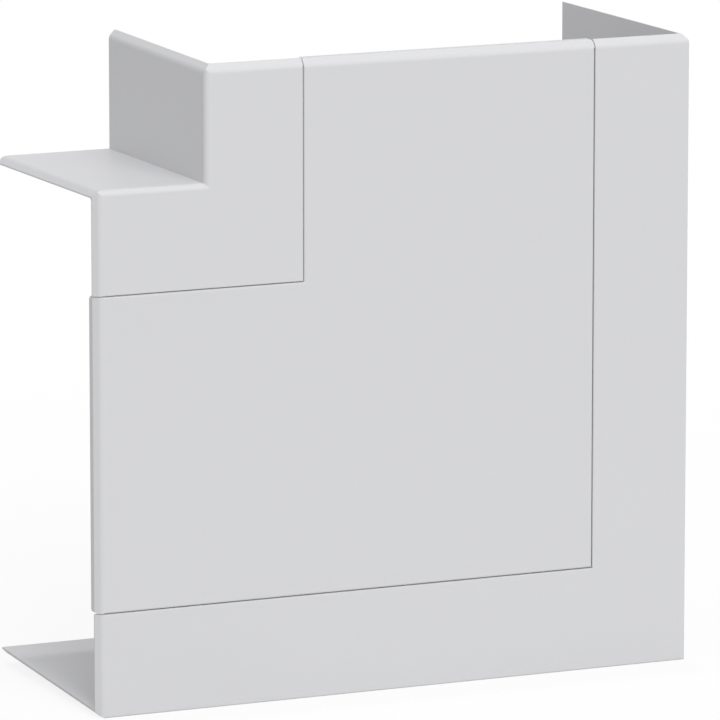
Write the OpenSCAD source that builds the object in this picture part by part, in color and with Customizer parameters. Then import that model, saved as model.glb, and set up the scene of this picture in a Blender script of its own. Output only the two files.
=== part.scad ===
// Flat angle for wall trunking: two L-shaped side mouldings and a clip-on L-shaped cover.
// The front faces -Y, the building's wall is at the back, one arm opens to -X and one to +Z.

/* [Trunking] */
// Width of each arm across the front
arm_w = 135; // [110:1:200]
// Depth from the front face to the building's wall
depth = 67; // [45:1:120]
// Length of each arm past the inner corner
leg_l = 30; // [24:1:120]

/* [Walls] */
// Thickness of the side walls and the front strips
wall = 2; // [1.4:0.1:2.6]
// How far an outer side wall leans towards the channel at its back edge
outer_lean = 2.5; // [0.1:0.1:3]
// How far an inner side wall leans towards the channel at its back edge
inner_lean = 1; // [0.1:0.1:2]

/* [Front] */
// Width of the strip that each side shows on the front
strip_w = 26.8; // [16:0.1:34]
// Gap between a strip and the cover
seam = 0.2; // [0.2:0.05:1]

/* [Rounding] */
// Depth of the bevel round the open ends
end_bevel = 1.6; // [0.8:0.1:1.7]
// Radius where that bevel runs into the face
end_r = 2.2; // [0.6:0.1:2.6]
// Radius of the front edge along the outer side
outer_edge_r = 0.4; // [0.2:0.1:1.8]
// Radius of the front edge along the inner side
inner_edge_r = 1.6; // [0.2:0.1:1.9]
// Radius of the strips' edges at the seam
seam_r = 0.3; // [0.1:0.1:0.6]
// Radius of the cover's edges at the seam
cover_edge_r = 0.5; // [0.1:0.1:1.2]
// Radius of the cover's corners at the open ends
cover_corner_r = 0.8; // [0.5:0.1:4]
// Radius inside, where a front strip turns into a side wall
root_r = 1; // [0.3:0.1:2]

/* [Cover seat] */
// Distance from an open end to the start of the seat, where the trunking slides in
seat_inset = 14; // [6:0.5:20]
// Width of the ledge that the cover lies on
ledge_w = 4; // [3:0.5:8]
// Thickness of the ledge
ledge_t = 1.5; // [1:0.1:2.5]
// Depth of the lip behind the ledge
lip_d = 8; // [6:0.5:14]
// Thickness of the lip
lip_t = 1.5; // [1:0.1:2.5]
// Radius of the snap bead on the lip
bead_r = 0.8; // [0.4:0.1:1.2]

/* [Cover] */
// Thickness of the cover's plate
cover_t = 2; // [1.4:0.1:2.6]
// Depth of the turned-back lip at each open end of the cover, from the front face
end_lip_d = 3.8; // [3:0.1:8]
// Thickness of the turned-back lip
end_lip_t = 2; // [1.2:0.1:3]
// Length of a snap lug along the seam
lug_l = 16; // [8:1:18]
// Thickness of a snap lug
lug_t = 1.4; // [1:0.1:2]
// Least distance from one snap lug to the next
lug_gap = 10; // [6:1:30]
// Length of the barb's ramp
barb_l = 3; // [2:0.5:5]
// Clearance between a snap lug and the lip that it grips
snap_clear = 0.3; // [0.2:0.05:0.5]

/* [Hidden] */
$fn = 48;
// How far a cutting shape runs past what it cuts
past = 1;
// How far the bevel cuts into the end of its radius, so that they meet in a clear line
bevel_dip = 0.02;
bevel_reach = end_bevel + (sqrt(2) - 1) * end_r - bevel_dip;
length = leg_l + arm_w;
cover_lo = strip_w + seam;
cover_hi = arm_w - cover_lo;
seat_s = strip_w + ledge_w;
lip_end = cover_t + ledge_t + lip_d;
bead_y = lip_end - 2.5 * bead_r;
lug_s = seat_s + bead_r + snap_clear;
barb_s = seat_s + snap_clear;
barb_y = bead_y + bead_r + snap_clear;
lug_end = barb_y + barb_l;
row_end = length - seat_inset - lug_t;
outer_angle = atan(outer_lean / depth);
inner_angle = atan(inner_lean / depth);
shell_colour = [0.88, 0.88, 0.89];

// Sections are drawn as [across, back]: across from the arm's outer side, back from the front face.

// What a radius takes off a square corner that points to -across and -back
module corner_2d(r) {
    difference() {
        translate([-past, -past])
            square([past + r, past + r]);
        translate([r, r])
            circle(r = r);
    }
}

// What the bevel of an open end takes off such a corner, and the radius beside it
module bevel_2d() {
    polygon([[-past, -past], [end_bevel + past, -past], [-past, end_bevel + past]]);
    difference() {
        translate([-past, -past])
            square([past + bevel_reach, past + (1 - sqrt(0.5)) * end_r]);
        translate([bevel_reach, end_r])
            circle(r = end_r);
    }
}

// What a radius fills in an inside corner
module root_2d(r) {
    difference() {
        square([r, r]);
        translate([r, r])
            circle(r = r);
    }
}

// Front strip and side wall, with the radius between them
module side_2d(lean, edge_r) {
    difference() {
        union() {
            square([strip_w, wall]);
            polygon([[0, 0], [wall, 0], [wall + lean, depth], [lean, depth]]);
            translate([wall, wall])
                root_2d(root_r);
        }
        corner_2d(edge_r);
        translate([strip_w, 0])
            mirror([1, 0])
                corner_2d(seam_r);
    }
}

// Ledge, lip and snap bead that carry the cover
module seat_2d() {
    translate([strip_w - wall, wall / 2])
        square([wall, cover_t + ledge_t - wall / 2]);
    translate([strip_w - wall, cover_t])
        square([wall + ledge_w, ledge_t]);
    translate([seat_s - lip_t, cover_t])
        square([lip_t, ledge_t + lip_d]);
    translate([seat_s, bead_y])
        circle(r = bead_r);
}

// Cover's plate with its rounded front edges
module plate_2d() {
    difference() {
        translate([cover_lo, 0])
            square([cover_hi - cover_lo, cover_t]);
        translate([cover_lo, 0])
            corner_2d(cover_edge_r);
        translate([cover_hi, 0])
            mirror([1, 0])
                corner_2d(cover_edge_r);
    }
}

// Snap lug, with the barb that hooks behind the bead
module lug_2d() {
    translate([lug_s, cover_t / 2])
        square([lug_t, lug_end - cover_t / 2]);
    polygon([
        [lug_s + lug_t / 2, barb_y],
        [barb_s, barb_y],
        [barb_s, barb_y + barb_l / 3],
        [lug_s, lug_end],
        [lug_s + lug_t / 2, lug_end]
    ]);
}

// Turns a section over, so that it lies along the arm's inner side
module inner_2d() {
    translate([arm_w, 0])
        mirror([1, 0])
            children();
}

// The arm that opens to -X is drawn with the outer corner at the origin and its outer side on Z = 0.

// Runs a section along the arm, between two distances from the outer corner
module along_arm(from, to) {
    translate([-from, 0, 0])
        rotate([0, -90, 0])
            linear_extrude(height = to - from)
                children();
}

// Draws a shape of [X, Z] as deep as the part, and a little deeper both ways
module through_depth() {
    translate([0, depth + 2 * past, 0])
        rotate([90, 0, 0])
            linear_extrude(height = depth + 4 * past)
                children();
}

// Bevels the arm's open end on the front and on both side walls
module end_cut() {
    translate([-length, 0, -past])
        linear_extrude(height = arm_w + 2 * past)
            bevel_2d();
    rotate([outer_angle, 0, 0])
        through_depth()
            translate([-length, 0])
                bevel_2d();
    translate([0, 0, arm_w])
        mirror([0, 0, 1])
            rotate([inner_angle, 0, 0])
                through_depth()
                    translate([-length, 0])
                        bevel_2d();
}

// Rounds the cover's two corners at the open end
module cover_corner_cut() {
    through_depth() {
        translate([-length, cover_lo])
            corner_2d(cover_corner_r);
        translate([-length, cover_hi])
            mirror([0, 1])
                corner_2d(cover_corner_r);
    }
}

// A row of lugs along the seam, spread between two distances from the outer corner
module lug_row(from, to) {
    count = max(1, floor((to - from + lug_gap) / (lug_l + lug_gap)));
    room = to - from - count * lug_l;
    step = lug_l + room / max(1, count - 1);
    first = count == 1 ? from + room / 2 : from;
    for (i = [0 : count - 1])
        along_arm(first + i * step, first + i * step + lug_l)
            children();
}

// Cuts one arm on the mitre through the outer and the inner corner, and adds its mirror image
module both_arms() {
    for (flip = [false, true])
        mirror(flip ? [1, 0, 1] : [0, 0, 0])
            difference() {
                intersection() {
                    union()
                        children();
                    through_depth()
                        polygon([[0, 0], [-length - past, 0], [-length - past, length + past]]);
                }
                end_cut();
            }
}

// Puts the middle of the part's footprint at the origin
module place() {
    color(shell_colour)
        translate([length / 2, -depth / 2, 0])
            children();
}

module outer_side() {
    place()
        both_arms() {
            along_arm(0, length)
                side_2d(outer_lean, outer_edge_r);
            along_arm(0, length - seat_inset)
                seat_2d();
        }
}

module inner_side() {
    place()
        both_arms() {
            along_arm(0, length)
                inner_2d()
                    side_2d(inner_lean, inner_edge_r);
            along_arm(0, length - seat_inset)
                inner_2d()
                    seat_2d();
        }
}

module cover() {
    place()
        both_arms()
            difference() {
                union() {
                    along_arm(0, length)
                        plate_2d();
                    along_arm(length - end_lip_t, length)
                        translate([cover_lo, 0])
                            square([cover_hi - cover_lo, end_lip_d]);
                    lug_row(lug_s + 2 * lug_t, row_end)
                        lug_2d();
                    lug_row(arm_w - lug_s + lug_t, row_end)
                        inner_2d()
                            lug_2d();
                }
                cover_corner_cut();
            }
}

outer_side();
inner_side();
cover();
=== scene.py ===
import math

import bmesh
import bpy
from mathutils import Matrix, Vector


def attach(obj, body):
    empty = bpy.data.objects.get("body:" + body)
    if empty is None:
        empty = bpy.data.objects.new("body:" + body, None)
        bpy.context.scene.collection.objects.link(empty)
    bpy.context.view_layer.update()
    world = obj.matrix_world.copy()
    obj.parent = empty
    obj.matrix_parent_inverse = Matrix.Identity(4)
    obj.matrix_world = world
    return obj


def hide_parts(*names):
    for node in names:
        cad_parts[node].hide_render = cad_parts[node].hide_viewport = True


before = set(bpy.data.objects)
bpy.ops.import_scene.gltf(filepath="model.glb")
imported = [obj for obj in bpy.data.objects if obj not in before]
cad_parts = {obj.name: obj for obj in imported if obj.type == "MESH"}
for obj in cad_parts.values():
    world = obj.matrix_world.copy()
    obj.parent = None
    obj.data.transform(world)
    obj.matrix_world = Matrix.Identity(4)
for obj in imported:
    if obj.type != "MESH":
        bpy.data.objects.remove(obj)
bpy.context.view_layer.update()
scene = bpy.context.scene
scene.view_settings.view_transform = "Standard"

# Camera
# It looks a little down at the fitting from the left of its front, through a long lens,
# so that the open end at the left and the open end at the top both show.
PHOTO_PX = 720
SENSOR_MM = 36.0
LENS_PX = 7295.0
LOOK_AT = Vector((0.00463, 0.0, 0.07978))
DISTANCE = 1.891
LEFT_OF_FRONT = math.radians(23.76)
DOWN = math.radians(10.80)
NEAREST = 0.05
FURTHEST = 20.0

camera_data = bpy.data.cameras.new("camera")
camera_data.sensor_width = SENSOR_MM
camera_data.lens = LENS_PX / PHOTO_PX * SENSOR_MM
camera_data.clip_start = NEAREST
camera_data.clip_end = FURTHEST
camera = bpy.data.objects.new("camera", camera_data)
scene.collection.objects.link(camera)
line_of_sight = Vector((
    math.sin(LEFT_OF_FRONT) * math.cos(DOWN),
    math.cos(LEFT_OF_FRONT) * math.cos(DOWN),
    -math.sin(DOWN),
))
camera.location = LOOK_AT - DISTANCE * line_of_sight
camera.rotation_euler = line_of_sight.to_track_quat("-Z", "Y").to_euler()
scene.camera = camera

# Outer side
# One moulding in light grey-white PVC: the front strip along the bottom and the right, and the
# two long walls that go back to the building. The tool left a very fine even grain on it.
PVC_COLOUR = (0.672, 0.674, 0.690)
PVC_GLOSS = 0.35
PVC_IOR = 1.53
PVC_ROUGHNESS = 0.46
GRAIN_PER_M = 2600.0
GRAIN_DETAIL = 2.0
GRAIN_DEPTH = 0.00002
GRAIN_BUMP = 0.25
GRAIN_ROUGHNESS = 0.06
FLOW_PER_M = 14.0
FLOW_DETAIL = 3.0
FLOW_DEPTH = 0.0001
FLOW_BUMP = 0.3
FLOW_ROUGHNESS = 0.08
LEAST_TONE = 0.985
TONE_SPAN = 0.03
EDGE_ANGLE = math.radians(25)
MITRE_ANGLE = math.radians(1)
MITRE_LENGTH = 0.001
FLAT_ANGLE = math.radians(0.2)
WELD_REACH = 1e-6
LARGE_FACES_LEAD = 100


class Sock:
    """A shader socket that takes part in sums and products."""

    def __init__(self, recipe, socket):
        self.recipe = recipe
        self.socket = socket

    def math(self, operation, a, b):
        return self.recipe.add("ShaderNodeMath", {"operation": operation}, {0: a, 1: b})

    def __add__(self, other):
        return self.math("ADD", self, other)

    def __radd__(self, other):
        return self.math("ADD", other, self)

    def __mul__(self, other):
        return self.math("MULTIPLY", self, other)

    def __rmul__(self, other):
        return self.math("MULTIPLY", other, self)

    def larger(self, other):
        return self.math("MAXIMUM", self, other)


class Recipe:
    """The nodes of one material or of the surround, each added by type, settings and inputs."""

    def __init__(self, owner):
        owner.use_nodes = True
        self.tree = owner.node_tree
        self.tree.nodes.clear()

    def add(self, kind, settings, inputs, out=0):
        made = self.tree.nodes.new(kind)
        for key, value in settings.items():
            setattr(made, key, value)
        for key, value in inputs.items():
            if isinstance(value, Sock):
                self.tree.links.new(value.socket, made.inputs[key])
            else:
                made.inputs[key].default_value = value
        return Sock(self, made.outputs[out]) if made.outputs else None


def moulded_pvc(name, start):
    """Satin PVC with the tool's fine grain and a faint unevenness from the flow into the mould."""
    material = bpy.data.materials.new(name)
    recipe = Recipe(material)
    place = recipe.add("ShaderNodeTexCoord", {}, {}, out="Object")
    moved = recipe.add("ShaderNodeMapping", {}, {"Vector": place, "Location": (start, 2 * start, 0.0)})
    grain = recipe.add(
        "ShaderNodeTexNoise",
        {},
        {"Vector": moved, "Scale": GRAIN_PER_M, "Detail": GRAIN_DETAIL},
    )
    flow = recipe.add(
        "ShaderNodeTexNoise",
        {},
        {"Vector": moved, "Scale": FLOW_PER_M, "Detail": FLOW_DETAIL},
    )
    colour = recipe.add(
        "ShaderNodeMix",
        {"data_type": "RGBA", "blend_type": "MULTIPLY"},
        {0: 1.0, 6: (*PVC_COLOUR, 1.0), 7: LEAST_TONE + TONE_SPAN * flow},
        out=2,
    )
    wavy = recipe.add(
        "ShaderNodeBump",
        {},
        {"Height": flow, "Strength": FLOW_BUMP, "Distance": FLOW_DEPTH},
    )
    grainy = recipe.add(
        "ShaderNodeBump",
        {},
        {"Height": grain, "Strength": GRAIN_BUMP, "Distance": GRAIN_DEPTH, "Normal": wavy},
    )
    surface = recipe.add(
        "ShaderNodeBsdfPrincipled",
        {},
        {
            "Base Color": colour,
            "Roughness": PVC_ROUGHNESS + FLOW_ROUGHNESS * flow + GRAIN_ROUGHNESS * grain,
            "Normal": grainy,
            "IOR": PVC_IOR,
            "Specular IOR Level": PVC_GLOSS,
        },
    )
    recipe.add("ShaderNodeOutputMaterial", {}, {"Surface": surface})
    return material


def as_mesh(piece):
    """The piece with its modifiers worked into its mesh."""
    bpy.context.view_layer.update()
    made = bpy.data.meshes.new_from_object(
        piece.evaluated_get(bpy.context.evaluated_depsgraph_get())
    )
    piece.modifiers.clear()
    piece.data = made
    return made


def part_at_edges(mesh):
    """Parts the shading at real edges, and at the short edges where two roundings meet."""
    shape = bmesh.new()
    shape.from_mesh(mesh)
    for face in shape.faces:
        face.smooth = True
    for edge in shape.edges:
        turn = edge.calc_face_angle(math.pi)
        meets = turn > MITRE_ANGLE and edge.calc_length() < MITRE_LENGTH
        edge.smooth = turn < EDGE_ANGLE and not meets
    shape.to_mesh(mesh)
    shape.free()


def moulding(node, name, material):
    """The node's shape in its place, with its triangles joined so that the roundings shade evenly."""
    piece = bpy.data.objects.new(name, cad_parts[node].data.copy())
    scene.collection.objects.link(piece)
    weld = piece.modifiers.new("weld", "WELD")
    weld.merge_threshold = WELD_REACH
    flat = piece.modifiers.new("flat", "DECIMATE")
    flat.decimate_type = "DISSOLVE"
    flat.angle_limit = FLAT_ANGLE
    part_at_edges(as_mesh(piece))
    even = piece.modifiers.new("even", "WEIGHTED_NORMAL")
    even.keep_sharp = True
    even.weight = LARGE_FACES_LEAD
    shaded = as_mesh(piece)
    shaded.materials.clear()
    shaded.materials.append(material)
    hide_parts(node)
    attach(piece, "root")


moulding("outer_side", "outer_side_moulding", moulded_pvc("outer_side_pvc", 0.0))

# Inner side
# One moulding in the same PVC: the short front strip round the inner corner and its two short walls.
# It comes from a tool of its own, so its grain doesn't run on from the outer side's.
moulding("inner_side", "inner_side_moulding", moulded_pvc("inner_side_pvc", 1.3))

# Cover
# The flat L-shaped plate that is clipped in flush between the two sides, with a lip turned back at
# each open end and a row of snap lugs along both seams.
moulding("cover", "cover_moulding", moulded_pvc("cover_pvc", 2.7))

# Floor
# A wide plain sheet that the fitting stands on. It shows as white, with a faint soft shadow round
# the fitting, and throws back only as much light as a pale grey sheet does.
FLOOR_HALF = 6.0
FLOOR_WHITE = (0.94, 0.94, 0.94, 1.0)
FLOOR_GREY = (0.55, 0.55, 0.55, 1.0)
SHADOW_REACH = 0.55
SHADOW_SHARE = 0.15
SHOWN_WHITE = 1.0


def is_looked_at(recipe):
    """One where a ray comes from the camera, from a reflection or through something clear."""
    straight, glossy, clear = (
        recipe.add("ShaderNodeLightPath", {}, {}, out=ray)
        for ray in ("Is Camera Ray", "Is Glossy Ray", "Is Transmission Ray")
    )
    return straight.larger(glossy).larger(clear)


floor_mesh = bpy.data.meshes.new("floor")
floor_mesh.from_pydata(
    [(x * FLOOR_HALF, y * FLOOR_HALF, 0.0) for x, y in ((-1, -1), (1, -1), (1, 1), (-1, 1))],
    [],
    [(0, 1, 2, 3)],
)
floor = bpy.data.objects.new("floor", floor_mesh)
scene.collection.objects.link(floor)
sheet_material = bpy.data.materials.new("floor_sheet")
sheet = Recipe(sheet_material)
from_fitting = sheet.add(
    "ShaderNodeVectorMath",
    {"operation": "LENGTH"},
    {0: sheet.add("ShaderNodeTexCoord", {}, {}, out="Object")},
    out="Value",
)
glow_share = sheet.add(
    "ShaderNodeMapRange",
    {"interpolation_type": "SMOOTHSTEP"},
    {"Value": from_fitting, 1: 0.0, 2: SHADOW_REACH, 3: 1.0 - SHADOW_SHARE, 4: 1.0},
)
white = sheet.add("ShaderNodeBsdfDiffuse", {}, {"Color": FLOOR_WHITE})
glow = sheet.add("ShaderNodeEmission", {}, {"Strength": SHOWN_WHITE})
seen_sheet = sheet.add("ShaderNodeMixShader", {}, {0: glow_share, 1: white, 2: glow})
grey = sheet.add("ShaderNodeBsdfDiffuse", {}, {"Color": FLOOR_GREY})
sheet_surface = sheet.add("ShaderNodeMixShader", {}, {0: is_looked_at(sheet), 1: grey, 2: seen_sheet})
sheet.add("ShaderNodeOutputMaterial", {}, {"Surface": sheet_surface})
floor_mesh.materials.append(sheet_material)

# Light
# A soft light high above the front, a second one high above that reaches in from behind, and an
# even pale surround that shows as white.
SURROUND = 0.60
SURROUND_COLOUR = (1.0, 1.0, 1.0, 1.0)
FRONT_LIGHT = {"towards": (0.0, 1.0, -0.6), "strength": 1.50, "spread": 40.0}
TOP_LIGHT = {"towards": (0.0, -0.09, -1.0), "strength": 0.42, "spread": 3.0}
LAMP_AWAY = 1.5


def soft_sun(name, towards, strength, spread):
    """A lamp that shines in one direction, softened over its spread in degrees."""
    lamp = bpy.data.lights.new(name, "SUN")
    lamp.energy = strength
    lamp.angle = math.radians(spread)
    holder = bpy.data.objects.new(name, lamp)
    holder.location = -LAMP_AWAY * Vector(towards)
    holder.rotation_euler = Vector(towards).to_track_quat("-Z", "Y").to_euler()
    scene.collection.objects.link(holder)


soft_sun("front_light", **FRONT_LIGHT)
soft_sun("top_light", **TOP_LIGHT)

scene.world = bpy.data.worlds.new("surround")
surround = Recipe(scene.world)
lighting = surround.add(
    "ShaderNodeBackground", {}, {"Color": SURROUND_COLOUR, "Strength": SURROUND}
)
backdrop = surround.add(
    "ShaderNodeBackground", {}, {"Color": SURROUND_COLOUR, "Strength": SHOWN_WHITE}
)
both = surround.add("ShaderNodeMixShader", {}, {0: is_looked_at(surround), 1: lighting, 2: backdrop})
surround.add("ShaderNodeOutputWorld", {}, {"Surface": both})
